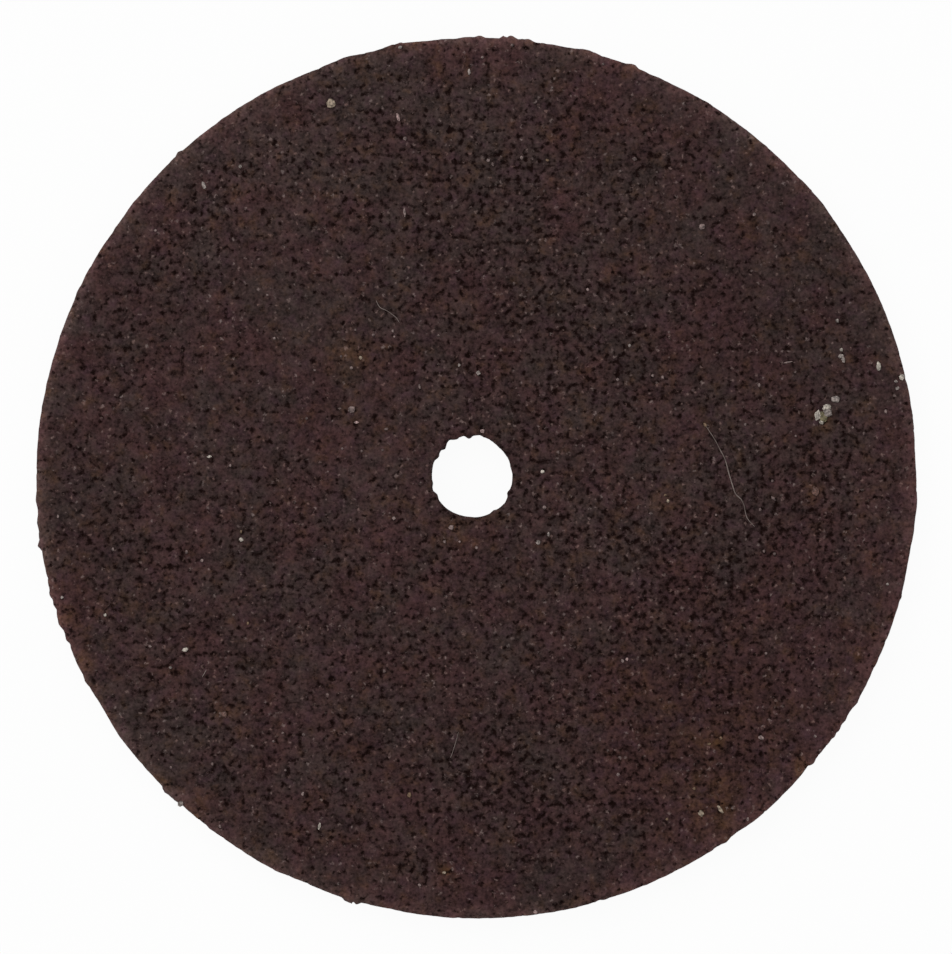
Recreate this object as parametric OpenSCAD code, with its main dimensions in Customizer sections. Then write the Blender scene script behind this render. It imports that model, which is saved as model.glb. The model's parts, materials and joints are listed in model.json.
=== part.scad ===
// Cut-off wheel: a thin disc of resin-bonded abrasive for the screw mandrel of a small rotary tool.
// It lies flat on Z = 0, and the axis of its bore is Z.

/* [Wheel] */
// Outside diameter of the wheel
wheel_d = 24; // [16:0.5:40]
// Thickness between the two pressed faces
wheel_t = 1; // [0.6:0.1:3]
// Rounding of the rim's two worn corners
rim_round = 0.15; // [0.05:0.01:0.25]
// Distance of the rim's centre from the axis of the bore, along X
runout_x = 0.13; // [-0.3:0.01:0.3]
// Distance of the rim's centre from the axis of the bore, along Y
runout_y = -0.04; // [-0.3:0.01:0.3]

/* [Bore] */
// Diameter of the bore that the mandrel screw passes through
bore_d = 2.2; // [1.6:0.1:7]
// Chamfer at each mouth of the bore
bore_chamfer = 0.04; // [0.02:0.01:0.15]

/* [Broken edges] */
// Width of one abrasive grain across its corners
grain_d = 0.42; // [0.3:0.02:0.48]
// How far the tallest grain stands out of the rim
rim_proud = 0.1; // [0.02:0.01:0.15]
// Depth of the deepest flat that has crumbled off the rim
rim_flat = 0.045; // [0.01:0.005:0.08]
// Depth of the deepest socket that a lost grain has left in a corner of the rim
rim_socket = 0.08; // [0.02:0.01:0.12]
// How far the largest grain stands into the upper mouth of the bore
bore_proud = 0.06; // [0.02:0.01:0.1]
// Depth of the deepest socket that a lost grain has left in the wall of the bore
bore_socket = 0.05; // [0.02:0.01:0.1]

/* [Hidden] */
$fn = 128;

rim_r = wheel_d / 2;
bore_r = bore_d / 2;
// Overshoot of a cut past the faces that it goes through
past = 0.5;
// Golden angle, which turns and lifts each grain differently from its neighbours
golden = 137.5;
// Sides of a grain's two prisms, and the angle at which they cross, taken in turn
grain_sides = [6, 5, 7];
grain_cross = [90, 70, 60, 80];
// Most that a grain reaches from its middle plane, however it is turned
grain_reach = norm([grain_d, grain_d]) / 2;

// Each place is an angle round the wheel, and a share of the tallest or deepest of its kind
rim_flat_at = [
  [4, 0.5], [81, 0.4], [104, 0.6], [112, 0.65], [145, 0.6], [211, 0.8], [247, 0.7], [319, 0.7], [350, 0.5]
];
rim_grain_at = [
  [38, 0.5], [40.8, 0.4], [58, 0.25], [69, 0.7], [75.3, 0.6], [83, 0.6], [85.4, 0.95], [86.4, 0.8],
  [89.6, 0.65], [100, 0.55], [132.3, 0.65], [155, 0.2], [182.6, 0.3], [188.6, 1], [195.2, 0.65], [199, 0.7],
  [224.8, 0.7], [226, 0.35], [227.4, 0.65], [252.8, 1], [253.9, 0.65], [304.5, 0.3], [324.2, 0.35],
  [329.4, 0.35], [344.3, 0.3]
];
rim_socket_at = [
  [12, 0.7], [28, 1], [56, 0.8], [64, 0.7], [111, 1], [122, 0.8], [146, 0.6], [166, 1], [178, 0.9],
  [208, 0.7], [218, 1], [236, 0.8], [264, 0.7], [274, 1], [286, 1], [308, 0.7], [338, 0.8], [352, 0.9]
];
bore_grain_at = [[94, 1], [110, 0.5], [136, 0.8], [150, 0.7], [303, 0.5], [336, 0.8]];
bore_socket_at = [[82, 0.6], [122, 1], [321, 0.6]];

// Half of the wheel's section, with true arcs at the corners of the rim
module wheel_section() {
  square([rim_r - rim_round, wheel_t]);
  translate([0, rim_round])
    square([rim_r, wheel_t - 2 * rim_round]);
  for (level = [rim_round, wheel_t - rim_round])
    translate([rim_r - rim_round, level])
      circle(r = rim_round);
}

// One angular grain: two crossed prisms that share a corner pointing along +X, turned about X
module grain(i) {
  intersection_for (cross = [0, grain_cross[i % len(grain_cross)]])
    rotate([i * golden + cross, 0, 0])
      cylinder(d = grain_d, h = grain_d, center = true, $fn = grain_sides[i % len(grain_sides)]);
}

// Straight flats where the rim has crumbled back between its grains
module rim_flats() {
  for (place = rim_flat_at)
    rotate(place[0])
      translate([rim_r - rim_flat * place[1], -rim_r / 2, -past])
        cube([rim_r, rim_r, wheel_t + 2 * past]);
}

// Grains that stand out of the rim, at uneven levels between the faces
module rim_grains() {
  for (i = [0 : len(rim_grain_at) - 1]) {
    place = rim_grain_at[i];
    lift = max(0, wheel_t / 2 - grain_reach) * sin(i * golden);
    rotate(place[0])
      translate([rim_r + rim_proud * place[1] - grain_d / 2, 0, wheel_t / 2 + lift])
        grain(i);
  }
}

// Sockets in the rounded corners of the rim, upper and lower by turns
module rim_sockets() {
  for (i = [0 : len(rim_socket_at) - 1]) {
    place = rim_socket_at[i];
    rotate(place[0])
      translate([rim_r - rim_round, 0, wheel_t / 2])
        mirror([0, 0, i % 2])
          translate([0, 0, wheel_t / 2 - rim_round])
            rotate([0, -45, 0])
              translate([rim_round - rim_socket * place[1] + grain_d / 2, 0, 0])
                rotate(180)
                  grain(i);
  }
}

// The bore with a chamfer at each mouth
module bore() {
  translate([0, 0, -past])
    cylinder(r = bore_r, h = wheel_t + 2 * past);
  for (turn = [0, 180])
    translate([0, 0, wheel_t / 2])
      rotate([turn, 0, 0])
        translate([0, 0, wheel_t / 2 - bore_chamfer])
          cylinder(r1 = bore_r, r2 = bore_r + bore_chamfer + past, h = bore_chamfer + past);
}

// Sockets right through the wall of the bore
module bore_sockets() {
  for (place = bore_socket_at)
    rotate(place[0])
      translate([bore_r + bore_socket * place[1] - grain_d / 2, 0, -past])
        cylinder(d = grain_d, h = wheel_t + 2 * past, $fn = grain_sides[0]);
}

// Grains that stand into the upper mouth of the bore, just under the face
module bore_grains() {
  for (i = [0 : len(bore_grain_at) - 1]) {
    place = bore_grain_at[i];
    rotate(place[0])
      translate([bore_r - bore_proud * place[1] + grain_d / 2, 0, wheel_t - grain_reach])
        rotate(180)
          grain(i);
  }
}

module abrasive_wheel() {
  color("#352726") {
    difference() {
      translate([runout_x, runout_y, 0]) {
        difference() {
          rotate_extrude()
            wheel_section();
          rim_flats();
          rim_sockets();
        }
        rim_grains();
      }
      bore();
      bore_sockets();
    }
    bore_grains();
  }
}

abrasive_wheel();
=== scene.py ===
"""Looks of a small cut-off wheel: its pitted faces and ragged rim, the grit and lint on it, and its stage."""

import json
import math

import bpy
import numpy as np
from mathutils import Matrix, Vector


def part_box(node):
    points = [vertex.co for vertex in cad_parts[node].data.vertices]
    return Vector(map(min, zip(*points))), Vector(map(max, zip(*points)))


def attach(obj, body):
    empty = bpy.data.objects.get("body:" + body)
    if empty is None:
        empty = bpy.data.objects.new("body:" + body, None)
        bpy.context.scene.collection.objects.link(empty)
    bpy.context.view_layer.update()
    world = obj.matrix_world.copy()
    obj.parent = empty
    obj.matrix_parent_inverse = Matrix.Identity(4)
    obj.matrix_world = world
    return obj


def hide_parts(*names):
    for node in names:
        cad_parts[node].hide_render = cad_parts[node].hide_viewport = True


bl_info = {
    "name": "Cut-off wheel",
    "version": (1, 0, 0),
    "blender": (4, 5, 0),
    "location": "3D View > Sidebar > Cut-off wheel",
    "description": "Dresses the packed wheel with its pressed abrasive, stuck grit, lint and stage",
    "category": "Add Mesh",
}

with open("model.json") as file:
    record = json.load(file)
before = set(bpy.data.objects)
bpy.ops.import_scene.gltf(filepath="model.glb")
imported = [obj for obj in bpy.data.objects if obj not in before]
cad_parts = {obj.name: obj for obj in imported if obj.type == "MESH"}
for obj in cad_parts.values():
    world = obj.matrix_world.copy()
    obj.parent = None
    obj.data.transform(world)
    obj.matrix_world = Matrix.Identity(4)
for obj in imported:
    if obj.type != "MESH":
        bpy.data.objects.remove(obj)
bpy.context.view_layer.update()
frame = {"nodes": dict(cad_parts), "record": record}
WHEEL_NODE = "abrasive_wheel"
WHEEL_BODY = "root"
WHEEL_LOW, WHEEL_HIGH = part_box(WHEEL_NODE)

MM = 0.001
PER_MM = 1000.0

# The photograph's frame and the wheel's place in it, in pixels
PHOTO_SIZE = (952, 954)
BORE_CENTRE_PX = (471.6, 476.2)
RIM_CENTRE_PX = (476.2, 477.7)
RIM_RADIUS_PX = 440.1

RIM_RADIUS = (WHEEL_HIGH.x - WHEEL_LOW.x) / 2
BORE_RADIUS = frame["record"]["mounts"][0]["dims"]["r_mm"] * MM
THICKNESS = WHEEL_HIGH.z - WHEEL_LOW.z
METRES_PER_PX = RIM_RADIUS / RIM_RADIUS_PX


def from_photo(x_px, y_px):
    """The place on the wheel, in metres from the axis of the bore, of a pixel of the photograph."""
    return (x_px - BORE_CENTRE_PX[0]) * METRES_PER_PX, (BORE_CENTRE_PX[1] - y_px) * METRES_PER_PX


RIM_CENTRE = from_photo(*RIM_CENTRE_PX)


def srgb(red, green, blue):
    """The linear colour of an 8-bit sRGB one."""
    parts = (value / 255 for value in (red, green, blue))
    return tuple(p / 12.92 if p <= 0.04045 else ((p + 0.055) / 1.055) ** 2.4 for p in parts)


# Properties

def length(name, description, default):
    """A length in metres that the sidebar shows in the scene's units."""
    return bpy.props.FloatProperty(
        name=name, description=description, default=default, min=0, precision=6, unit="LENGTH")


def share(name, description, default):
    """A share from 0 to 1."""
    return bpy.props.FloatProperty(
        name=name, description=description, default=default, min=0, max=1, subtype="FACTOR")


def count(name, description, default):
    """A number of triangles."""
    return bpy.props.IntProperty(name=name, description=description, default=default, min=1000)


def colour(name, description, default):
    """A colour, from its 8-bit sRGB values."""
    return bpy.props.FloatVectorProperty(
        name=name, description=description, default=srgb(*default), min=0, max=1, subtype="COLOR")


class AbrasiveLook(bpy.types.PropertyGroup):
    """Relief and colours of the pressed abrasive"""
    voxel: length("Voxel", "Fineness of the mesh before it is thinned", 0.04 * MM)
    upper_triangles: count("Upper triangles", "Triangles of the upper face", 76000)
    lower_triangles: count("Lower triangles", "Triangles of the lower face", 36000)
    wall_triangles: count("Wall triangles", "Triangles along the rim and the bore", 76000)
    pit_spacing: length("Pit spacing", "Distance between the pits of the pressed faces", 0.17 * MM)
    pit_depth: length("Pit depth", "Depth of the deepest pits", 0.07 * MM)
    cluster_spacing: length("Cluster spacing", "Distance between the clusters of pits", 0.8 * MM)
    swell_spacing: length("Swell spacing", "Distance between the low swells of the faces", 0.9 * MM)
    swell_depth: length("Swell depth", "Depth of the low swells", 0.015 * MM)
    wall_roughness: length("Wall roughness", "How far the rim and the bore stray from round", 0.02 * MM)
    edge_width: length("Edge width", "Width of the paler band along the rim", 0.52 * MM)
    # Partly wear and partly a painted highlight: the rim's corner is made paler as worn abrasive and as light
    # caught by its rounded edge
    edge_wear_and_highlight: share("Edge gain", "How much paler the worn corner of the rim is", 0.88)
    red_resin: colour("Red resin", "Resin of the redder patches", (67, 45, 45))
    grey_resin: colour("Grey resin", "Resin of the greyer patches", (60, 48, 46))
    plum: colour("Plum", "Resin of the purplish patches", (64, 44, 50))
    ochre: colour("Ochre", "Resin of the ochre stains", (84, 58, 36))
    # Painted shade: the dark bottoms of the pits stand in for the shade that falls in them
    pit_shade: colour("Pit", "Bottoms of the pits", (27, 12, 10))
    # Partly small pale grains and partly painted glints on their faces
    pale_speck_and_glint: colour("Pale speck", "Greyer bright faces of small grains", (155, 139, 135))
    warm_speck_and_glint: colour("Warm speck", "Warmer bright faces of small grains", (145, 113, 105))


class DirtLook(bpy.types.PropertyGroup):
    """Grit and lint on the upper face"""
    roughness: share("Roughness", "Unevenness of the grit's facets", 0.18)
    height: share("Height", "Height of a grain as a share of its width", 0.7)
    sunk: share("Sunk", "Share of a grain's height that is pressed into the face", 0.45)
    hair_width: length("Hair width", "Thickness of a lint hair", 0.036 * MM)
    hair_tip: share("Hair tip", "Thickness of a hair's ends as a share of its middle", 0.4)
    pale_hair: colour("Pale hair", "Palest stretches of the lint", (140, 126, 120))
    dull_hair: colour("Dull hair", "Dullest stretches of the lint", (94, 80, 75))


class StageLook(bpy.types.PropertyGroup):
    """Camera, floor and lights"""
    lens: bpy.props.FloatProperty(
        name="Lens", description="Focal length of the camera", default=200, min=1, unit="CAMERA")
    floor: colour("Floor", "Colour of the floor", (250, 250, 250))
    floor_glow: share("Floor glow", "Share of plain white in the floor that the camera sees", 0.95)
    key_power: bpy.props.FloatProperty(
        name="Key power", description="Power of the soft light above", default=0.35, min=0, unit="POWER")
    sky: share("Sky", "Strength of the even light from all around", 0.45)


# Nodes

class Wire:
    """An output in a node tree, on which maths is written as Python expressions."""

    def __init__(self, tree, socket=None):
        self.tree = tree
        self.socket = socket

    def node(self, kind, inputs=None, output=0, **settings):
        """Adds a node with these settings and inputs, and returns one of its outputs."""
        made = self.tree.nodes.new(kind)
        for name, value in settings.items():
            setattr(made, name, value)
        for name, value in (inputs or {}).items():
            if isinstance(value, Wire):
                self.tree.links.new(value.socket, made.inputs[name])
            else:
                made.inputs[name].default_value = value
        return Wire(self.tree, made.outputs[output] if made.outputs else None)

    def other(self, output):
        """Another output of the same node."""
        return Wire(self.tree, self.socket.node.outputs[output])

    def math(self, operation, first, second=0.0):
        return self.node("ShaderNodeMath", {0: first, 1: second}, operation=operation)

    def __add__(self, other):
        return self.math("ADD", self, other)

    def __radd__(self, other):
        return self.math("ADD", other, self)

    def __sub__(self, other):
        return self.math("SUBTRACT", self, other)

    def __rsub__(self, other):
        return self.math("SUBTRACT", other, self)

    def __mul__(self, other):
        return self.math("MULTIPLY", self, other)

    def between(self, low, high, kind="SMOOTHSTEP"):
        """A step from 0 at low to 1 at high, either way round."""
        return self.node(
            "ShaderNodeMapRange", {"Value": self, "From Min": low, "From Max": high}, interpolation_type=kind)

    def vector(self, operation, first, second):
        return self.node("ShaderNodeVectorMath", {0: first, 1: second}, operation=operation)

    def scaled(self, factor):
        """A colour or vector times a value."""
        return self.node("ShaderNodeVectorMath", {0: self, "Scale": factor}, operation="SCALE")

    def axis(self, index):
        """One part of a vector or colour."""
        return self.node("ShaderNodeSeparateXYZ", {0: self}, output=index)

    def noise(self, spacing, detail=2.0, roughness=0.5, shift=0.0):
        """Fractal noise at a place in millimetres, with features this far apart."""
        moved = self.vector("ADD", self, (shift, -shift, shift))
        return self.node("ShaderNodeTexNoise", {
            "Vector": moved, "Scale": MM / spacing, "Detail": detail, "Roughness": roughness})

    def away_from(self, x, y):
        """Distance in millimetres of a place from an upright axis."""
        flat = self.vector("MULTIPLY", self.vector("SUBTRACT", self, (x, y, 0.0)), (1.0, 1.0, 0.0))
        return self.node("ShaderNodeVectorMath", {0: flat}, output=1, operation="LENGTH")

    def mix(self, factor, first, second):
        """A colour between two others."""
        values = {0: factor, 6: first, 7: second}
        whole = {key: (*value, 1.0) if isinstance(value, tuple) else value for key, value in values.items()}
        return self.node("ShaderNodeMix", whole, output=2, data_type="RGBA")


def new_material(name):
    """A material with the wires of its shader: the start of its tree and the shader node."""
    material = bpy.data.materials.new(name)
    material.use_nodes = True
    return material, Wire(material.node_tree), material.node_tree.nodes["Principled BSDF"]


def plug(shader, name, wire):
    """Feeds an input of a shader from a wire."""
    wire.tree.links.new(wire.socket, shader.inputs[name])


# The pattern of the abrasive, which the relief and the colours share

# Depth under each face to which the pattern runs straight in, and how fast it returns at the lower corner
PATTERN_SKIN = 0.12
PATTERN_RETURN = 5.0

# Broad zones, in millimetres from the bore's axis: x, y, radius, and how many more pits there are
PIT_ZONES = (
    (5.9, -3.4, 3.6, 0.037),
    (8.2, -1.0, 3.5, 0.03),
    (1.2, -8.0, 3.0, 0.04),
    (1.0, 8.1, 3.2, 0.03),
    (2.6, 3.4, 3.4, 0.025),
    (-2.6, 0.4, 2.8, -0.06),
    (-4.6, 4.5, 4.2, -0.045),
    (-8.0, 1.5, 4.0, -0.03),
    (8.2, 7.2, 3.4, -0.05),
)

# Stains of ochre in millimetres: x, y, radius and strength
STAINS = (
    (-3.2, 3.3, 1.1, 0.38),
    (-3.3, 1.7, 0.5, 0.5),
    (9.5, 1.5, 0.6, 0.6),
    (9.3, -0.4, 0.45, 0.5),
    (6.5, -9.0, 1.3, 0.45),
    (-0.6, -1.5, 0.6, 0.5),
    (-6.8, -6.5, 0.45, 0.6),
    (5.3, -0.5, 0.7, 0.4),
    (-9.7, -3.4, 0.7, 0.4),
    (-0.7, -10.8, 0.5, 0.5),
    (6.4, 1.6, 0.5, 0.4),
    (5.6, -6.6, 4.2, 0.15),
    (-11.35, -2.9, 0.5, 0.3),
    (-11.05, -3.9, 0.6, 0.3),
    (-10.6, -5.0, 0.6, 0.25),
    (-8.45, -8.3, 0.5, 0.3),
    (-7.5, -9.1, 0.5, 0.35),
    (-5.6, -10.5, 0.6, 0.2),
    (8.96, -7.75, 0.5, 0.4),
    (10.5, -4.75, 0.4, 0.6),
    (6.6, -7.2, 0.45, 0.5),
)

# Redder and greyer zones, in millimetres: x, y, radius and strength
RED_ZONES = (
    (6.5, -7.5, 5.5, 0.24),
    (9.5, -4.0, 3.5, 0.12),
    (-1.0, -11.0, 3.0, 0.1),
    (-8.0, -8.0, 3.0, -0.1),
    (-11.1, -3.8, 1.2, 0.25),
    (-1.5, 8.5, 5.0, -0.1),
)

# Paler and darker zones, in millimetres: x, y, radius and strength
PALE_ZONES = (
    (-6.0, 9.0, 5.5, 0.15),
    (-2.6, -0.2, 3.0, 0.08),
    (8.0, 4.5, 5.5, -0.1),
    (5.8, -6.4, 4.0, -0.14),
    (2.0, -11.0, 4.0, -0.1),
    (-11.6, -0.8, 3.0, -0.1),
    (7.5, -4.0, 4.5, -0.05),
    (-1.5, -7.0, 3.5, -0.05),
    (-5.9, 6.0, 2.5, -0.07),
    (0.0, 10.0, 4.0, 0.06),
)

# Width of the band along the rim that has few pits, in millimetres, and how many more it has
RIM_FREE_OF_PITS = 1.5
RIM_PITS = -0.05

# How many more pits a cluster of them has
CLUSTERED_PITS = 0.2

# Values of the pattern at which a pit starts and at which it is deepest
PIT_EDGE = 0.496
PIT_FLOOR = 0.29

# Noises of the relief: octaves, their strength, and a shift of place so that no two are alike
PIT_NOISE = {"detail": 2, "roughness": 0.55}
CLUSTER_NOISE = {"detail": 2, "shift": 53}
SWELL_NOISE = {"detail": 1, "shift": 7}
STRAY_NOISE = {"detail": 3, "shift": 3}
NOISE_MIDDLE = 0.5

# Distance between the rough spots of the walls, as a multiple of the pits' spacing
STRAY_SPREAD = 2

# Upright part of the normal at which a face counts as level, and at which it counts as a wall
LEVEL = 0.8
STEEP = 0.3

# Multiples of the bore's radius at which the wear of its wall has ended, and within which it is full
BORE_WEAR_ENDS = 2
BORE_WEAR_FULL = 1.5

# Share of their depth by which the pits in the rim and the bore are filled
WALL_PITS_FILLED = 0.6

# The zones are kept on the mesh under these names
MORE_PITS = "more_pits"
STAINED = "stained"
REDDER = "redder"
PALER = "paler"

# The two round walls, in millimetres: centre and radius
RIM = ((RIM_CENTRE[0] * PER_MM, RIM_CENTRE[1] * PER_MM), RIM_RADIUS * PER_MM)
BORE = ((0.0, 0.0), BORE_RADIUS * PER_MM)

# Grains that stand out of a wall: angle in degrees, reach and height in millimetres
RIM_GRAINS = (
    (23, 1.7, 0.014), (38.2, 0.46, 0.042), (41, 0.46, 0.033), (58.4, 0.34, 0.022), (69.4, 0.19, 0.05),
    (70.3, 0.34, 0.014), (75.3, 0.42, 0.062), (76.8, 0.34, 0.014), (83.2, 0.15, 0.07), (84, 0.17, 0.05),
    (85.6, 0.11, 0.08), (86.5, 0.11, 0.09), (87.7, 0.3, 0.012), (89.7, 0.2, 0.038), (90.8, 0.4, 0.03),
    (100, 0.54, 0.042), (101.3, 0.3, 0.025), (106.7, 0.36, 0.034), (132.5, 0.17, 0.08), (133.6, 0.25, 0.014),
    (152.5, 0.25, 0.018), (155.1, 0.25, 0.022), (173, 1.4, 0.014), (182.8, 0.3, 0.052), (185.8, 0.25, 0.05),
    (187.6, 0.3, 0.056), (188.8, 0.17, 0.12), (191.2, 0.8, 0.024), (194.2, 0.3, 0.035), (195.3, 0.21, 0.054),
    (196.6, 0.17, 0.066), (198.2, 0.22, 0.062), (199.2, 0.22, 0.084), (201.4, 0.17, 0.037),
    (204.8, 0.4, 0.022), (207.4, 0.21, 0.045), (208.8, 0.4, 0.02), (217, 1.0, 0.012), (225.1, 0.15, 0.076),
    (225.8, 0.2, 0.06), (226.8, 0.24, 0.05), (232.7, 0.17, 0.03), (241, 1.0, 0.02), (243.5, 0.25, 0.015),
    (253.4, 0.13, 0.11), (254.2, 0.13, 0.09), (282.5, 0.6, 0.012), (287, 0.15, 0.024), (304.5, 0.17, 0.04),
    (310.5, 0.84, 0.022), (319.7, 0.17, 0.062), (321, 0.4, 0.016), (324.2, 0.15, 0.046),
    (325.2, 0.15, 0.044), (326.7, 0.17, 0.033), (329.5, 0.21, 0.04), (331, 0.6, 0.018),
    (344.5, 0.21, 0.032), (357, 0.5, 0.014),
)
BORE_GRAINS = (
    (14.5, 0.22, 0.035), (44, 0.5, 0.03), (94, 0.15, 0.042), (110.5, 0.1, 0.028), (133.5, 0.14, 0.044),
    (148.5, 0.18, 0.034), (178, 0.4, 0.011), (189, 0.14, 0.024), (206.5, 0.16, 0.04), (213, 0.25, 0.016),
    (255, 0.5, 0.014), (302.5, 0.16, 0.045), (335.5, 0.25, 0.037), (356, 0.3, 0.014),
)

# Chips right through a wall: angle in degrees, reach and depth in millimetres
RIM_CHIPS = (
    (0.5, 1.0, 0.02), (3.5, 1.2, 0.014), (64.5, 1.2, 0.014), (103.6, 0.3, 0.012), (111.4, 0.25, 0.012),
    (115, 0.9, 0.022), (202.2, 0.13, 0.03), (211.4, 0.25, 0.008), (257.5, 1.2, 0.018), (263, 1.2, 0.01),
    (286.2, 0.13, 0.033), (306, 0.42, 0.018), (319, 0.2, 0.014), (348, 1.6, 0.014),
)
BORE_CHIPS = (
    (72, 0.3, 0.035), (84, 0.24, 0.032), (105, 0.15, 0.044), (122.5, 0.24, 0.036), (139, 0.12, 0.016),
    (159.5, 0.2, 0.014), (199, 0.18, 0.028), (228, 0.5, 0.01), (288, 0.45, 0.015), (312, 0.26, 0.036),
    (324, 0.26, 0.033),
)

# How far the rim's grain stands out and the bore's has worn back all round, in millimetres
RIM_STANDS_OUT = 0.016
BORE_WEAR = 0.01

# Levels between which grains stand in a wall, in millimetres, and the step from each grain to the next
GRAIN_LEVELS = (0.66, 0.84)
GOLDEN_STEP = 0.618


def pattern_place(position):
    """A position in metres as a place in the pattern, in millimetres: both faces share one plane of it."""
    across = position.scaled(PER_MM)
    height = across.axis(2)
    down = height.math("MAXIMUM", THICKNESS * PER_MM - PATTERN_SKIN - height, 0.0)
    up = height.math("MAXIMUM", (height - PATTERN_SKIN) * PATTERN_RETURN, 0.0)
    level = height.math("MINIMUM", down, up)
    return across.node("ShaderNodeCombineXYZ", {0: across.axis(0), 1: across.axis(1), 2: level})


def from_rim(place):
    """Distance in millimetres of a place inside the rim."""
    return RIM_RADIUS * PER_MM - place.away_from(RIM_CENTRE[0] * PER_MM, RIM_CENTRE[1] * PER_MM)


def zone_sum(place, zones):
    """The strengths of round zones that fade out to their radius, added up."""
    total = 0.0
    for x, y, radius, strength in zones:
        total = total + place.away_from(x, y).between(radius, 0.0) * strength
    return total


def wall_point(wall, angle):
    """The point in millimetres at an angle round a wall."""
    (x, y), radius = wall
    turn = math.radians(angle)
    return x + radius * math.cos(turn), y + radius * math.sin(turn)


def grain_sum(spot, wall, grains):
    """The heights of the grains in a wall, added up, at levels that differ from grain to grain."""
    low, high = GRAIN_LEVELS
    total = 0.0
    for i, (angle, reach, height) in enumerate(grains):
        level = low + (high - low) * (i * GOLDEN_STEP % 1)
        middle = (*wall_point(wall, angle), level)
        away = spot.node("ShaderNodeVectorMath", {0: spot, 1: middle}, output=1, operation="DISTANCE")
        total = total + away.between(reach, 0.0, "LINEAR") * height
    return total


def chip_sum(spot, wall, chips):
    """The depths of the chips through a wall, added up."""
    return zone_sum(spot, [(*wall_point(wall, angle), reach, depth) for angle, reach, depth in chips])


def pit_mask(place, more, look):
    """1 in the pits between the grains, 0 on the pressed surface, with more pits where more is high."""
    worm = place.noise(look.pit_spacing, **PIT_NOISE)
    cluster = place.noise(look.cluster_spacing, **CLUSTER_NOISE) - NOISE_MIDDLE
    return (worm - more - cluster * CLUSTERED_PITS).between(PIT_EDGE, PIT_FLOOR)


# Meshes

MERGE_DISTANCE = 1e-7

# Width of the band along the rim and the bore that keeps the finest mesh
WALL_BAND = 0.3 * MM

# Upward part of the normal under which a face belongs to the underside
FACES_DOWN = -0.7

# How far the bore's wall is drawn inwards on the map for its depth, and the room round the face
BORE_SPREAD = 0.9
MAP_MARGIN = 1.25 * MM


def select_only(*pieces):
    """Leaves only these pieces selected, with the first one active."""
    bpy.ops.object.select_all(action="DESELECT")
    for piece in pieces:
        piece.select_set(True)
    bpy.context.view_layer.objects.active = pieces[0]


def apply_modifier(piece, kind, **settings):
    """Adds a modifier to a piece and applies it."""
    select_only(piece)
    modifier = piece.modifiers.new(kind.title(), kind)
    for name, value in settings.items():
        setattr(modifier, name, value)
    bpy.ops.object.modifier_apply(modifier=modifier.name)


def merge_points():
    """Merges the points of the active piece that lie in one place, so that its faces close."""
    bpy.ops.object.mode_set(mode="EDIT")
    bpy.ops.mesh.select_all(action="SELECT")
    bpy.ops.mesh.remove_doubles(threshold=MERGE_DISTANCE)
    bpy.ops.object.mode_set(mode="OBJECT")


def merged_copy(node, name):
    """A new piece with a copy of a CAD node's mesh, its loose triangles merged."""
    piece = bpy.data.objects.new(name, frame["nodes"][node].data.copy())
    bpy.context.scene.collection.objects.link(piece)
    piece.data.materials.clear()
    select_only(piece)
    merge_points()
    return piece


def relief_group(look):
    """Geometry nodes that press the pits and swells into the faces and break up the rim and the bore."""
    group = bpy.data.node_groups.new("Pressed relief", "GeometryNodeTree")
    group.interface.new_socket("Geometry", in_out="INPUT", socket_type="NodeSocketGeometry")
    group.interface.new_socket("Geometry", in_out="OUTPUT", socket_type="NodeSocketGeometry")
    start = Wire(group).node("NodeGroupInput")
    position = start.node("GeometryNodeInputPosition")
    spot = position.scaled(PER_MM)
    place = pattern_place(position)
    normal = start.node("GeometryNodeInputNormal")
    upright = normal.axis(2)
    wall = upright.math("ABSOLUTE", upright).between(LEVEL, STEEP)
    more = zone_sum(place, PIT_ZONES) + from_rim(place).between(RIM_FREE_OF_PITS, 0.0) * RIM_PITS
    pits = pit_mask(place, more, look) * look.pit_depth * (1 - wall * WALL_PITS_FILLED)
    swell = place.noise(look.swell_spacing, **SWELL_NOISE) * look.swell_depth * (1 - wall)
    rough = place.noise(look.pit_spacing * STRAY_SPREAD, **STRAY_NOISE) - NOISE_MIDDLE
    stray = rough * (2 * look.wall_roughness)
    in_bore = spot.away_from(*BORE[0]).between(BORE_WEAR_ENDS * BORE[1], BORE_WEAR_FULL * BORE[1])
    wear = in_bore * (BORE_WEAR + RIM_STANDS_OUT) - RIM_STANDS_OUT
    chips = chip_sum(spot, RIM, RIM_CHIPS) + chip_sum(spot, BORE, BORE_CHIPS) + wear
    grains = grain_sum(spot, RIM, RIM_GRAINS) + grain_sum(spot, BORE, BORE_GRAINS)
    offset = wall * (stray + (grains - chips) * MM) - pits - swell
    shaped = start.node("GeometryNodeSetPosition", {"Geometry": start, "Offset": normal.scaled(offset)})
    zones = {STAINED: STAINS, REDDER: RED_ZONES, PALER: PALE_ZONES}
    values = {MORE_PITS: more, **{name: zone_sum(place, rows) for name, rows in zones.items()}}
    for name, value in values.items():
        shaped = shaped.node(
            "GeometryNodeStoreNamedAttribute", {"Geometry": shaped, "Name": name, "Value": value})
    shaped.node("NodeGroupOutput", {0: shaped})
    return group


def read(items, name, width, kind=float):
    """One value of every vertex, corner or face of a mesh, as rows of this width."""
    values = np.empty(len(items) * width, dtype=kind)
    items.foreach_get(name, values)
    return values.reshape(-1, width)


def thin_out(piece, chosen, triangles):
    """Thins the chosen faces of a piece to about this many triangles."""
    before = np.sum(read(piece.data.polygons, "loop_total", 1, int)[chosen] - 2)
    select_only(piece)
    bpy.ops.object.mode_set(mode="EDIT")
    bpy.ops.mesh.select_mode(type="FACE")
    bpy.ops.mesh.select_all(action="DESELECT")
    bpy.ops.object.mode_set(mode="OBJECT")
    piece.data.polygons.foreach_set("select", chosen)
    bpy.ops.object.mode_set(mode="EDIT")
    bpy.ops.mesh.decimate(ratio=triangles / before)
    bpy.ops.object.mode_set(mode="OBJECT")


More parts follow.
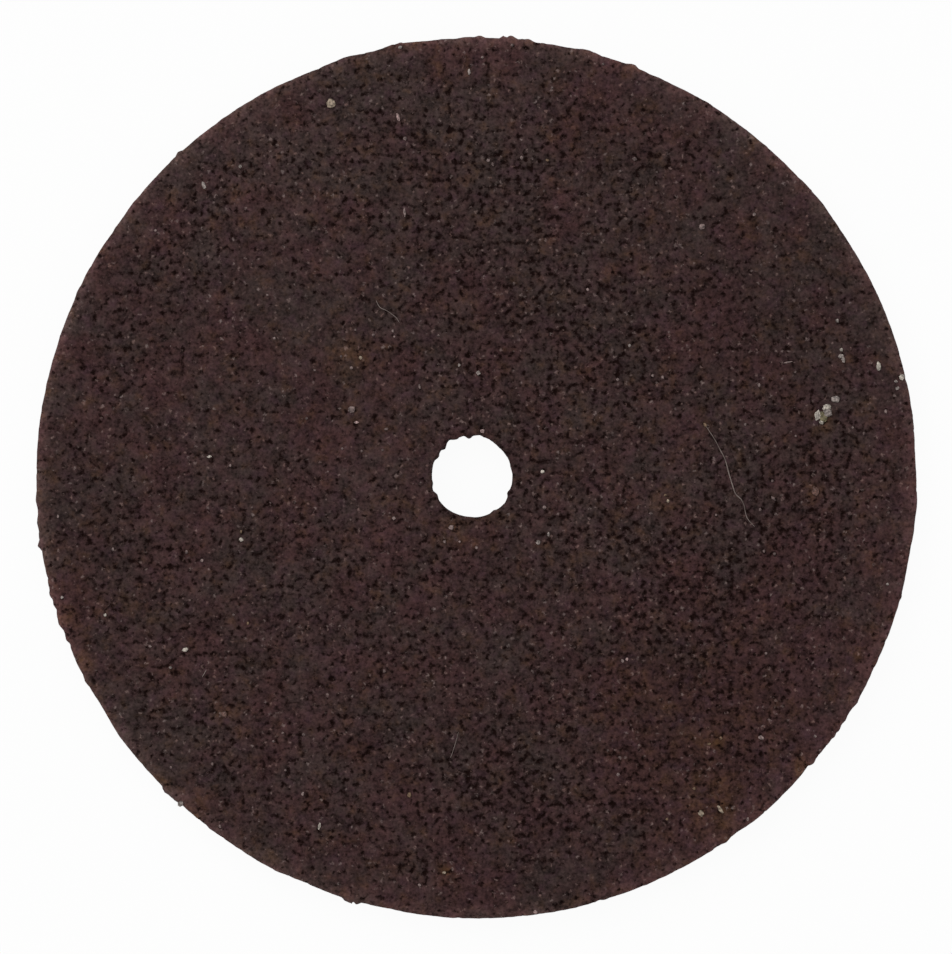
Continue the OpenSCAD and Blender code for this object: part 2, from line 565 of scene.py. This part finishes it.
def drop_flaps(piece):
    """Removes any face that thinning has left hanging from the closed surface by one edge."""
    select_only(piece)
    bpy.ops.object.mode_set(mode="EDIT")
    bpy.ops.mesh.select_mode(type="VERT")
    bpy.ops.mesh.select_all(action="DESELECT")
    bpy.ops.mesh.select_non_manifold(
        use_wire=False, use_boundary=True, use_multi_face=False, use_non_contiguous=False, use_verts=False)
    bpy.ops.mesh.delete(type="ONLY_FACE")
    bpy.ops.mesh.select_all(action="SELECT")
    bpy.ops.mesh.delete_loose()
    bpy.ops.object.mode_set(mode="OBJECT")


def along_walls(points):
    """Which of these points lie along the rim or the bore."""
    out = np.hypot(points[:, 0] - RIM_CENTRE[0], points[:, 1] - RIM_CENTRE[1])
    return (out > RIM_RADIUS - WALL_BAND) | (np.hypot(points[:, 0], points[:, 1]) < BORE_RADIUS + WALL_BAND)


def thin_wheel(wheel, look):
    """Thins the lower face most and the walls least, because their outline shows from every side."""
    for above, wall, triangles in (
            (False, False, look.lower_triangles),
            (True, False, look.upper_triangles),
            (None, True, look.wall_triangles)):
        centres = read(wheel.data.polygons, "center", 3)
        chosen = along_walls(centres) == wall
        if above is not None:
            chosen &= (centres[:, 2] > THICKNESS / 2) == above
        thin_out(wheel, chosen, triangles)
    drop_flaps(wheel)


def unfold(wheel):
    """A map of the wheel from above: the rim's wall lies round the face, and the bore's wall inside it."""
    mesh = wheel.data
    sides = read(mesh.polygons, "loop_total", 1, int)[:, 0]
    below = np.repeat(read(mesh.polygons, "normal", 3)[:, 2] < FACES_DOWN, sides)
    x, y, z = read(mesh.vertices, "co", 3)[read(mesh.loops, "vertex_index", 1, int)[:, 0]].T
    radius = np.hypot(x, y)
    wall = along_walls(np.stack((x, y), axis=1)) & ~below
    spread = np.where(radius > RIM_RADIUS / 2, 1.0, -BORE_SPREAD)
    scale = np.where(wall, 1 + spread * (WHEEL_HIGH.z - z) / radius, 1.0) / (2 * (RIM_RADIUS + MAP_MARGIN))
    spots = np.stack((0.5 + x * scale, 0.5 + y * scale), axis=1)
    mesh.uv_layers.new(name="OFBake").data.foreach_set("uv", spots.ravel())


# Colours of the abrasive

# Layers of noise in the resin: distance between features, octaves, their strength and a shift of place
HUE_NOISE = {"spacing": 1.3 * MM, "detail": 4, "roughness": 0.62, "shift": 11}
MOTTLE_NOISE = {"spacing": 0.34 * MM, "detail": 3, "roughness": 0.6, "shift": 23}
FINE_NOISE = {"spacing": 0.085 * MM, "detail": 2, "roughness": 0.6, "shift": 31}
WARMTH_NOISE = {"spacing": 0.4 * MM, "detail": 3, "roughness": 0.6, "shift": 47}

# Values of the noise between which one colour passes into the next, and the most that the next one covers
RED_TO_GREY = (0.3, 0.7)
TO_PLUM = (0.5, 0.25)
PLUM_SHARE = 0.6
TO_OCHRE = (0.5, 0.8)
OCHRE_SHARE = 0.4
TO_STAIN = (0.3, 0.6)
EDGE_STAIN = 0.05

# Shade of the resin: its base, and how far the mottling and the fine grain lift it
SHADE_BASE = -1.05
MOTTLE_GAIN = 2.0
FINE_GAIN = 2.2

# Kinds of bright speck: spacing and radius in millimetres, share that stays dark, and a shift of place
SPECKS = ((0.17, 0.09, 0.25, 3.0), (0.5, 0.11, 0.5, 17.0))

# A speck's brightest core as a share of its radius, the most that it covers, and the grain that breaks it up
SPECK_CORE = 0.3
SPECK_SHARE = 0.55
SPECK_BREAKS = (0.35, 0.6)

# Gloss and fine relief of the resin
ROUGHEST = 0.95
POLISH = 0.3
ABRASIVE_SPECULAR = 0.06
FINE_RELIEF = 0.25
BUMP_DEPTH = 0.05
BUMP_STRENGTH = 0.6


def specks(place, spacing, radius, rarity, shift):
    """Small bright grains with painted glints on their faces: how bright the speck at a place is, and its own
    random colour.
    """
    bent = place.noise(spacing / 2, shift=shift).other("Color").scaled(spacing * PER_MM)
    moved = place.vector("ADD", place.vector("ADD", place, bent), (shift, shift, -shift))
    inputs = {"Vector": moved, "Scale": MM / spacing}
    cell = place.node("ShaderNodeTexVoronoi", inputs, output="Distance", distance="MANHATTAN")
    chance = cell.other("Color")
    bright = chance.axis(0).between(rarity, 1.0)
    return bright * cell.between(radius / spacing, SPECK_CORE * radius / spacing), chance.axis(1)


def abrasive_material(look):
    """Dark brown bonded abrasive: mottled resin, pits darkened with painted shade, bright specks that are
    partly painted glints, and a paler edge that is partly wear and partly a painted highlight.
    """
    material, start, shader = new_material("Bonded abrasive")
    place = pattern_place(start.node("ShaderNodeTexCoord", output="Object"))
    more, stained, redder, paler = (
        start.node("ShaderNodeAttribute", output="Fac", attribute_name=name)
        for name in (MORE_PITS, STAINED, REDDER, PALER))
    pits = pit_mask(place, more, look)
    hue = place.noise(**HUE_NOISE) - redder
    mottle = place.noise(**MOTTLE_NOISE)
    fine = place.noise(**FINE_NOISE)
    warmth = place.noise(**WARMTH_NOISE)
    resin = start.mix(hue.between(*RED_TO_GREY), tuple(look.red_resin), tuple(look.grey_resin))
    resin = start.mix(warmth.between(*TO_PLUM) * PLUM_SHARE, resin, tuple(look.plum))
    edge = from_rim(place).between(look.edge_width * PER_MM, 0.0, "LINEAR")
    stain = warmth.between(*TO_OCHRE) * OCHRE_SHARE + stained * warmth.between(*TO_STAIN) + edge * EDGE_STAIN
    resin = start.mix(stain.math("MINIMUM", stain, 1.0), resin, tuple(look.ochre))
    shade = SHADE_BASE + mottle * MOTTLE_GAIN + fine * FINE_GAIN
    # Paler band along the rim: partly wear, partly a painted highlight on the rounded corner
    resin = resin.scaled(shade * (1 + edge * edge * look.edge_wear_and_highlight + paler))
    # Painted shade in the pits, darker than their relief alone would make them
    resin = start.mix(pits, resin, tuple(look.pit_shade))
    broken = fine.between(*SPECK_BREAKS)
    # Bright specks: small pale grains, partly painted glints on their faces
    for spacing, radius, rarity, shift in SPECKS:
        bright, tint = specks(place, spacing * MM, radius * MM, rarity, shift)
        speck = start.mix(tint, tuple(look.pale_speck_and_glint), tuple(look.warm_speck_and_glint))
        resin = start.mix(bright * broken * SPECK_SHARE, resin, speck)
    plug(shader, "Base Color", resin)
    plug(shader, "Roughness", ROUGHEST - fine * POLISH)
    shader.inputs["Specular IOR Level"].default_value = ABRASIVE_SPECULAR
    height = (fine * FINE_RELIEF - pits) * BUMP_DEPTH
    bump = start.node("ShaderNodeBump", {"Strength": BUMP_STRENGTH, "Distance": MM, "Height": height})
    plug(shader, "Normal", bump)
    return material


class CUTOFF_OT_wheel(bpy.types.Operator):
    """Replaces the plain wheel with one that has the pits and the ragged edges of pressed abrasive"""
    bl_idname = "cutoff.wheel"
    bl_label = "Abrasive wheel"

    def execute(self, context):
        look = context.scene.cutoff_abrasive
        wheel = merged_copy(WHEEL_NODE, "abrasive_disc")
        apply_modifier(wheel, "REMESH", mode="VOXEL", voxel_size=look.voxel)
        apply_modifier(wheel, "NODES", node_group=relief_group(look))
        thin_wheel(wheel, look)
        unfold(wheel)
        bpy.ops.object.shade_smooth()
        wheel.data.materials.append(abrasive_material(look))
        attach(wheel, WHEEL_BODY)
        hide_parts(WHEEL_NODE)
        return {"FINISHED"}


# Grit and lint

# Colours of the grit
GRIT_TONES = {
    "pale": (194, 184, 172),
    "grey": (150, 138, 132),
    "pinkish": (136, 116, 112),
    "dusky": (108, 89, 86),
    "tan": (160, 143, 124),
    "rose": (172, 144, 140),
    "olive": (112, 103, 77),
    "ochre": (116, 92, 70),
    "rust": (108, 78, 69),
}

# Grains stuck to the upper face, in millimetres from the bore's axis: x, y, length, width and turn
GRIT = {
    "pale": (
        (9.66, 1.89, 0.24, 0.18, 20),
        (9.42, 1.68, 0.16, 0.27, -10),
        (9.52, 1.49, 0.13, 0.12, 0),
        (10.06, 3.46, 0.09, 0.10, 0),
        (11.08, 3.01, 0.13, 0.26, 5),
        (11.71, 2.72, 0.15, 0.15, 0),
        (-7.16, 0.55, 0.12, 0.07, 10),
        (-7.82, -4.71, 0.18, 0.11, 15),
        (-10.00, -3.77, 0.09, 0.09, 0),
        (1.92, 0.14, 0.11, 0.10, 0),
        (-4.16, -9.51, 0.07, 0.18, -10),
        (-6.29, -1.71, 0.11, 0.11, 0),
    ),
    "grey": (
        (9.69, 1.75, 0.24, 0.24, 40),
        (9.90, 2.11, 0.25, 0.19, 0),
        (10.05, 3.29, 0.16, 0.11, 20),
        (10.11, 3.20, 0.10, 0.16, 15),
        (11.55, 2.60, 0.09, 0.08, 0),
        (11.59, 2.41, 0.12, 0.09, 20),
        (9.95, 4.25, 0.09, 0.11, 0),
        (-7.31, 7.94, 0.11, 0.22, 20),
        (-6.32, 8.46, 0.09, 0.09, 0),
        (-0.08, 11.04, 0.07, 0.16, 0),
        (-1.96, 11.70, 0.11, 0.08, 10),
        (11.32, -2.93, 0.08, 0.08, 0),
        (-0.35, 3.04, 0.08, 0.09, 0),
        (4.29, 3.58, 0.08, 0.08, 0),
        (0.17, 2.83, 0.11, 0.12, 0),
        (1.80, -1.79, 0.13, 0.12, 0),
        (2.08, -1.57, 0.07, 0.13, 0),
        (-11.17, -3.29, 0.09, 0.09, 0),
        (-7.95, -8.91, 0.17, 0.13, 45),
        (-8.22, -5.20, 0.08, 0.07, 0),
    ),
    "pinkish": (
        (11.27, 1.78, 0.08, 0.11, 0),
        (7.82, 2.49, 0.08, 0.11, 0),
        (10.37, 1.34, 0.07, 0.07, 0),
        (-1.83, 9.22, 0.10, 0.09, 0),
        (-1.84, 7.21, 0.06, 0.24, 5),
        (-6.59, 0.31, 0.08, 0.08, 0),
        (-5.39, 3.77, 0.09, 0.09, 0),
        (0.44, 8.62, 0.10, 0.10, 0),
        (1.35, 8.70, 0.09, 0.09, 0),
        (3.97, 2.65, 0.08, 0.08, 0),
        (4.92, 2.76, 0.08, 0.08, 0),
        (5.19, 2.71, 0.08, 0.09, 0),
        (7.69, 7.15, 0.10, 0.09, 0),
        (1.97, -0.83, 0.10, 0.10, 0),
        (-2.13, -1.13, 0.10, 0.10, 0),
        (-0.75, -1.77, 0.08, 0.08, 0),
        (-0.34, -1.77, 0.07, 0.06, 0),
        (0.12, -1.93, 0.08, 0.08, 0),
        (6.26, 6.82, 0.18, 0.14, 30),
        (-1.43, -11.12, 0.08, 0.08, 0),
        (-1.43, 2.46, 0.06, 0.13, 10),
        (-8.63, 6.71, 0.08, 0.08, 0),
        (7.88, -7.11, 0.17, 0.12, -20),
        (-3.29, 1.84, 0.20, 0.17, 30),
        (8.61, 3.12, 0.22, 0.045, 12),
        (-0.57, -1.38, 0.15, 0.13, 0),
        (-4.62, -8.64, 0.08, 0.12, -15),
        (4.10, -5.02, 0.08, 0.11, 20),
        (3.98, -8.11, 0.09, 0.09, 0),
        (-8.77, -4.62, 0.08, 0.08, 0),
        (-7.36, -2.28, 0.10, 0.09, 0),
        (-9.79, -1.98, 0.07, 0.11, 0),
        (-11.28, -1.08, 0.07, 0.10, 0),
        (8.01, -4.81, 0.07, 0.07, 0),
        (9.35, -7.07, 0.08, 0.08, 0),
        (7.51, -9.33, 0.08, 0.10, 0),
        (-2.16, 3.97, 0.07, 0.09, 0),
        (-2.12, 3.82, 0.05, 0.06, 0),
        (-3.29, 2.97, 0.09, 0.08, -30),
        (3.15, 5.10, 0.08, 0.08, 0),
        (0.28, 11.43, 0.08, 0.07, 0),
    ),
    "dusky": (
        (-6.87, -9.53, 0.08, 0.11, 20),
        (-5.16, -6.98, 0.08, 0.07, 0),
        (-4.59, -7.02, 0.09, 0.08, 0),
        (-5.41, -7.21, 0.08, 0.07, 0),
        (-7.08, -7.82, 0.07, 0.10, 0),
        (-5.09, -8.00, 0.07, 0.07, 0),
        (-7.78, -2.05, 0.08, 0.11, 0),
        (-6.50, -3.76, 0.07, 0.07, 0),
        (9.48, -7.45, 0.07, 0.06, 40),
        (-8.21, -7.92, 0.08, 0.08, 0),
        (8.82, 1.11, 0.07, 0.07, 0),
        (-5.58, 4.95, 0.08, 0.08, 0),
        (-2.69, 3.87, 0.09, 0.07, 0),
        (-0.92, 3.85, 0.07, 0.07, 0),
        (-3.57, 3.28, 0.07, 0.07, 0),
        (-4.29, 2.90, 0.09, 0.06, 0),
        (-3.01, 0.70, 0.07, 0.07, 0),
        (-2.44, 0.73, 0.07, 0.07, 0),
        (-3.54, 0.77, 0.07, 0.07, 0),
        (-2.34, 1.30, 0.12, 0.07, 10),
        (-3.18, 4.00, 0.07, 0.07, 0),
        (-4.51, 1.59, 0.08, 0.07, 0),
        (0.56, 8.52, 0.07, 0.10, 20),
        (4.43, 8.66, 0.12, 0.10, 0),
        (1.09, 11.76, 0.09, 0.08, 0),
        (3.57, 11.24, 0.08, 0.07, 0),
        (2.18, 10.60, 0.07, 0.08, 0),
        (7.85, -0.89, 0.08, 0.09, 0),
        (8.21, -0.59, 0.15, 0.07, -40),
        (8.24, -2.10, 0.08, 0.08, 0),
        (7.95, -2.03, 0.07, 0.09, 0),
        (6.65, -1.04, 0.07, 0.07, 0),
        (8.18, -0.11, 0.08, 0.07, 0),
        (4.87, -1.00, 0.10, 0.06, 0),
        (5.82, -1.39, 0.07, 0.08, 0),
        (7.44, 1.42, 0.08, 0.10, 0),
    ),
    "tan": (
        (-3.84, 10.17, 0.26, 0.26, 0),
        (-3.04, 3.25, 0.09, 0.09, 0),
        (6.24, -9.17, 0.14, 0.17, 20),
        (6.76, -9.06, 0.10, 0.25, 35),
        (-0.76, -10.79, 0.10, 0.08, 0),
        (5.34, -0.66, 0.08, 0.10, 0),
    ),
    "rose": (
        (-2.02, 9.81, 0.09, 0.21, 15),
        (-3.15, 1.48, 0.12, 0.07, 10),
        (4.22, -4.97, 0.08, 0.09, 0),
        (0.28, 1.24, 0.13, 0.12, 0),
        (1.73, -11.86, 0.12, 0.10, -10),
    ),
    "olive": (
        (9.57, 1.59, 0.23, 0.18, 20),
        (9.53, 1.72, 0.14, 0.13, 0),
    ),
    "ochre": (
        (-1.71, -8.67, 0.12, 0.14, 0),
        (6.05, -8.50, 0.09, 0.09, 0),
        (6.35, 1.41, 0.09, 0.14, 20),
        (6.46, -7.28, 0.10, 0.06, 10),
        (6.78, -7.12, 0.07, 0.09, 0),
        (5.31, -9.33, 0.08, 0.08, 0),
        (-6.30, -1.50, 0.07, 0.10, 0),
        (-6.11, -3.99, 0.07, 0.10, 0),
        (5.27, -0.50, 0.09, 0.06, 10),
        (2.05, 8.63, 0.09, 0.07, 0),
    ),
    "rust": (
        (9.36, -0.40, 0.22, 0.24, 0),
        (-6.76, -6.48, 0.18, 0.18, 0),
    ),
}
TONE_ATTRIBUTE = "tone"
CHUNK_KINDS = 5
CHUNK_DETAIL = 2

# Mottling of the grit, partly dust and partly painted shade of its facets: its noise, the range that it uses,
# its darkest shade and how much it adds
GRIT_NOISE = {"spacing": 0.06 * MM, "detail": 2}
GRIT_RANGE = (0.25, 0.75)
GRIT_DARKEST = 0.35
GRIT_CONTRAST = 1.2

# Upright part of the normal from which a grain's side turns into its top, and how much painted shade darkens
# its side
GRIT_SIDE_TO_TOP = (0.1, 0.95)
GRIT_SIDE_SHADE = 0.6

# Roughness of the grit's smoothest spots, and how much rougher it gets
GRIT_SMOOTHEST = 0.45
GRIT_DUST = 0.3

# Lint hairs on the upper face: share of the full width, and points in millimetres from the bore's axis
HAIRS = (
    (1.0, (
        (6.36, 1.40), (6.45, 1.26), (6.58, 1.07), (6.66, 0.93), (6.77, 0.71), (6.88, 0.52), (6.94, 0.31),
        (6.99, 0.11), (7.06, -0.12), (7.12, -0.32), (7.18, -0.49), (7.32, -0.59), (7.41, -0.76),
        (7.44, -0.95), (7.49, -1.14), (7.62, -1.28), (7.70, -1.36),
    )),
    (0.7, ((-2.61, 4.80), (-2.55, 4.61), (-2.34, 4.54), (-2.19, 4.43), (-2.04, 4.32), (-1.98, 4.19))),
    (0.9, ((-0.37, -6.95), (-0.45, -7.30), (-0.59, -7.66))),
    (0.9, ((-7.24, -5.26), (-7.29, -5.36), (-7.35, -5.45))),
)

# Unevenness of the lint's tone, its roughness, and the fineness of its round and of its bends
HAIR_NOISE = {"spacing": 0.5 * MM}
HAIR_RANGE = (0.35, 0.65)
HAIR_ROUGHNESS = 0.7
HAIR_ROUND = 2
HAIR_ORDER = 3


def chunk(kind, look):
    """A rough grain about a metre across, which is scaled down where it lies."""
    bpy.ops.object.select_all(action="DESELECT")
    bpy.ops.mesh.primitive_ico_sphere_add(subdivisions=CHUNK_DETAIL, radius=0.5)
    bpy.ops.object.mode_set(mode="EDIT")
    bpy.ops.mesh.select_all(action="SELECT")
    bpy.ops.transform.vertex_random(offset=look.roughness, seed=kind)
    bpy.ops.object.mode_set(mode="OBJECT")
    return bpy.context.object


def placed_grain(pattern, tone, x, y, size, width, turn, look):
    """A copy of a chunk at its place on the upper face, in its own colour."""
    grain = pattern.copy()
    grain.data = pattern.data.copy()
    bpy.context.scene.collection.objects.link(grain)
    height = look.height * min(size, width)
    rise = height * (0.5 - look.sunk)
    grain.location = (x * MM, y * MM, WHEEL_HIGH.z + rise * MM)
    grain.rotation_euler = (0, 0, math.radians(turn))
    grain.scale = (size * MM, width * MM, height * MM)
    tones = grain.data.color_attributes.new(TONE_ATTRIBUTE, "FLOAT_COLOR", "POINT")
    tones.data.foreach_set("color", (*srgb(*tone), 1.0) * len(tones.data))
    return grain


def grit_material():
    """Crystal grit: each grain's own colour, mottled partly as dust and partly as painted shade of its
    facets, its steep sides darkened as painted shade, with a slight gloss.
    """
    material, start, shader = new_material("Stuck grit")
    place = start.node("ShaderNodeTexCoord", output="Object").scaled(PER_MM)
    tone = start.node("ShaderNodeAttribute", output="Color", attribute_name=TONE_ATTRIBUTE)
    mottle = place.noise(**GRIT_NOISE)
    # Painted shade: a grain's steep sides are darkened in its colour, which gives dark outlines round its
    # foot
    steepness = 1 - start.node("ShaderNodeNewGeometry", output="Normal").axis(2).between(*GRIT_SIDE_TO_TOP)
    shade = GRIT_DARKEST + mottle.between(*GRIT_RANGE) * GRIT_CONTRAST
    plug(shader, "Base Color", tone.scaled(shade * (1 - steepness * GRIT_SIDE_SHADE)))
    plug(shader, "Roughness", GRIT_SMOOTHEST + mottle * GRIT_DUST)
    return material


class CUTOFF_OT_grit(bpy.types.Operator):
    """Adds the pale grains that are stuck to the upper face"""
    bl_idname = "cutoff.grit"
    bl_label = "Stuck grit"

    def execute(self, context):
        look = context.scene.cutoff_dirt
        kinds = [chunk(kind, look) for kind in range(CHUNK_KINDS)]
        rows = [(GRIT_TONES[tone], *row) for tone, rows in GRIT.items() for row in rows]
        grains = [placed_grain(kinds[i % CHUNK_KINDS], *row, look) for i, row in enumerate(rows)]
        select_only(*kinds)
        bpy.ops.object.delete()
        select_only(*grains)
        bpy.ops.object.join()
        bpy.ops.object.transform_apply(location=True, rotation=True, scale=True)
        bpy.ops.object.shade_flat()
        grit = context.object
        grit.name = "stuck_grit"
        grit.data.materials.append(grit_material())
        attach(grit, WHEEL_BODY)
        return {"FINISHED"}


def hair_material(look):
    """Pale lint with a slightly uneven tone."""
    material, start, shader = new_material("Lint")
    place = start.node("ShaderNodeTexCoord", output="Object").scaled(PER_MM)
    paler = place.noise(**HAIR_NOISE).between(*HAIR_RANGE)
    plug(shader, "Base Color", start.mix(paler, tuple(look.dull_hair), tuple(look.pale_hair)))
    shader.inputs["Roughness"].default_value = HAIR_ROUGHNESS
    return material


class CUTOFF_OT_lint(bpy.types.Operator):
    """Adds the lint hairs that lie on the upper face"""
    bl_idname = "cutoff.lint"
    bl_label = "Lint"

    def execute(self, context):
        look = context.scene.cutoff_dirt
        curve = bpy.data.curves.new("lint_hairs", "CURVE")
        curve.dimensions = "3D"
        curve.bevel_depth = look.hair_width / 2
        curve.bevel_resolution = HAIR_ROUND
        curve.use_fill_caps = True
        height = WHEEL_HIGH.z + look.hair_width / 2
        for width, points in HAIRS:
            spline = curve.splines.new("NURBS")
            spline.points.add(len(points) - 1)
            spline.use_endpoint_u = True
            spline.order_u = HAIR_ORDER
            for i, (x, y) in enumerate(points):
                middle = math.sin(math.pi * i / (len(points) - 1))
                spline.points[i].co = (x * MM, y * MM, height, 1.0)
                spline.points[i].radius = width * (look.hair_tip + (1 - look.hair_tip) * middle)
        hairs = bpy.data.objects.new("lint_hairs", curve)
        context.scene.collection.objects.link(hairs)
        select_only(hairs)
        bpy.ops.object.convert(target="MESH")
        merge_points()
        bpy.ops.object.shade_smooth()
        hairs = context.object
        hairs.data.materials.append(hair_material(look))
        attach(hairs, WHEEL_BODY)
        return {"FINISHED"}


# Stage

SENSOR_WIDTH = 36.0
FLOOR_SIZE = 2.0
FLOOR_DROP = 0.01 * MM
KEY_HEIGHT = 0.2
KEY_SIZE = 0.25
KEY_ASIDE = (-0.12, 0.13)

# Nearest distance that the camera sees, as a share of its height
NEAREST = 0.01

# Depth under the upper face at which the rim is widest, where the photograph's scale holds
RIM_CORNER = 0.2 * MM


def floor_material(look):
    """Pale floor that is white to the eye and in reflections, with a faint shadow."""
    material = bpy.data.materials.new("Pale floor")
    material.use_nodes = True
    tree = material.node_tree
    tree.nodes.clear()
    start = Wire(tree)
    ray = start.node("ShaderNodeLightPath", output="Is Camera Ray")
    seen = ray.math("MINIMUM", ray + ray.other("Is Glossy Ray") + ray.other("Is Transmission Ray"), 1.0)
    matte = start.node("ShaderNodeBsdfDiffuse", {"Color": (*look.floor, 1.0)})
    glow = start.node("ShaderNodeEmission", {"Strength": 1.0})
    both = start.node("ShaderNodeMixShader", {0: seen * look.floor_glow, 1: matte, 2: glow})
    start.node("ShaderNodeOutputMaterial", {"Surface": both})
    return material


class CUTOFF_OT_stage(bpy.types.Operator):
    """Makes the floor, the lights and the camera that looks straight down on the wheel"""
    bl_idname = "cutoff.stage"
    bl_label = "Stage"

    def execute(self, context):
        look = context.scene.cutoff_stage
        scene = context.scene
        bpy.ops.object.select_all(action="DESELECT")
        bpy.ops.mesh.primitive_plane_add(size=FLOOR_SIZE, location=(0, 0, WHEEL_LOW.z - FLOOR_DROP))
        floor = context.object
        floor.name = "floor"
        floor.data.materials.append(floor_material(look))

        bpy.ops.object.light_add(type="AREA", location=(*KEY_ASIDE, KEY_HEIGHT))
        key = context.object
        key.name = "key_light"
        key.data.size = KEY_SIZE
        key.data.energy = look.key_power
        key.rotation_euler = Vector((*KEY_ASIDE, KEY_HEIGHT)).to_track_quat("Z", "Y").to_euler()

        world = bpy.data.worlds.new("Even light")
        world.use_nodes = True
        world.node_tree.nodes["Background"].inputs["Color"].default_value = (1, 1, 1, 1)
        world.node_tree.nodes["Background"].inputs["Strength"].default_value = look.sky
        scene.world = world
        scene.view_settings.view_transform = "Standard"

        seen = max(PHOTO_SIZE) * METRES_PER_PX
        x, y = from_photo((PHOTO_SIZE[0] - 1) / 2, (PHOTO_SIZE[1] - 1) / 2)
        height = WHEEL_HIGH.z - RIM_CORNER + seen * look.lens / SENSOR_WIDTH
        bpy.ops.object.camera_add(location=(x, y, height), rotation=(0, 0, 0))
        camera = context.object
        camera.name = "camera"
        camera.data.sensor_width = SENSOR_WIDTH
        camera.data.lens = look.lens
        camera.data.clip_start = height * NEAREST
        scene.camera = camera
        return {"FINISHED"}


class CUTOFF_PT_panel(bpy.types.Panel):
    """Lists the pieces of the wheel"""
    bl_idname = "CUTOFF_PT_panel"
    bl_label = "Cut-off wheel"
    bl_space_type = "VIEW_3D"
    bl_region_type = "UI"
    bl_category = "Cut-off wheel"

    def draw(self, context):
        for operator in OPERATORS:
            self.layout.operator(operator.bl_idname)
        for name, group in GROUPS.items():
            self.layout.label(text=group.__doc__)
            for value in group.__annotations__:
                self.layout.prop(getattr(context.scene, name), value)


GROUPS = {"cutoff_abrasive": AbrasiveLook, "cutoff_dirt": DirtLook, "cutoff_stage": StageLook}
OPERATORS = (CUTOFF_OT_wheel, CUTOFF_OT_grit, CUTOFF_OT_lint, CUTOFF_OT_stage)
CLASSES = (*GROUPS.values(), *OPERATORS, CUTOFF_PT_panel)


def register():
    for part in CLASSES:
        bpy.utils.register_class(part)
    for name, group in GROUPS.items():
        setattr(bpy.types.Scene, name, bpy.props.PointerProperty(type=group))


def unregister():
    for name in GROUPS:
        delattr(bpy.types.Scene, name)
    for part in reversed(CLASSES):
        bpy.utils.unregister_class(part)


def main():
    register()
    bpy.ops.cutoff.wheel()
    bpy.ops.cutoff.grit()
    bpy.ops.cutoff.lint()
    bpy.ops.cutoff.stage()


if __name__ == "__main__":
    main()
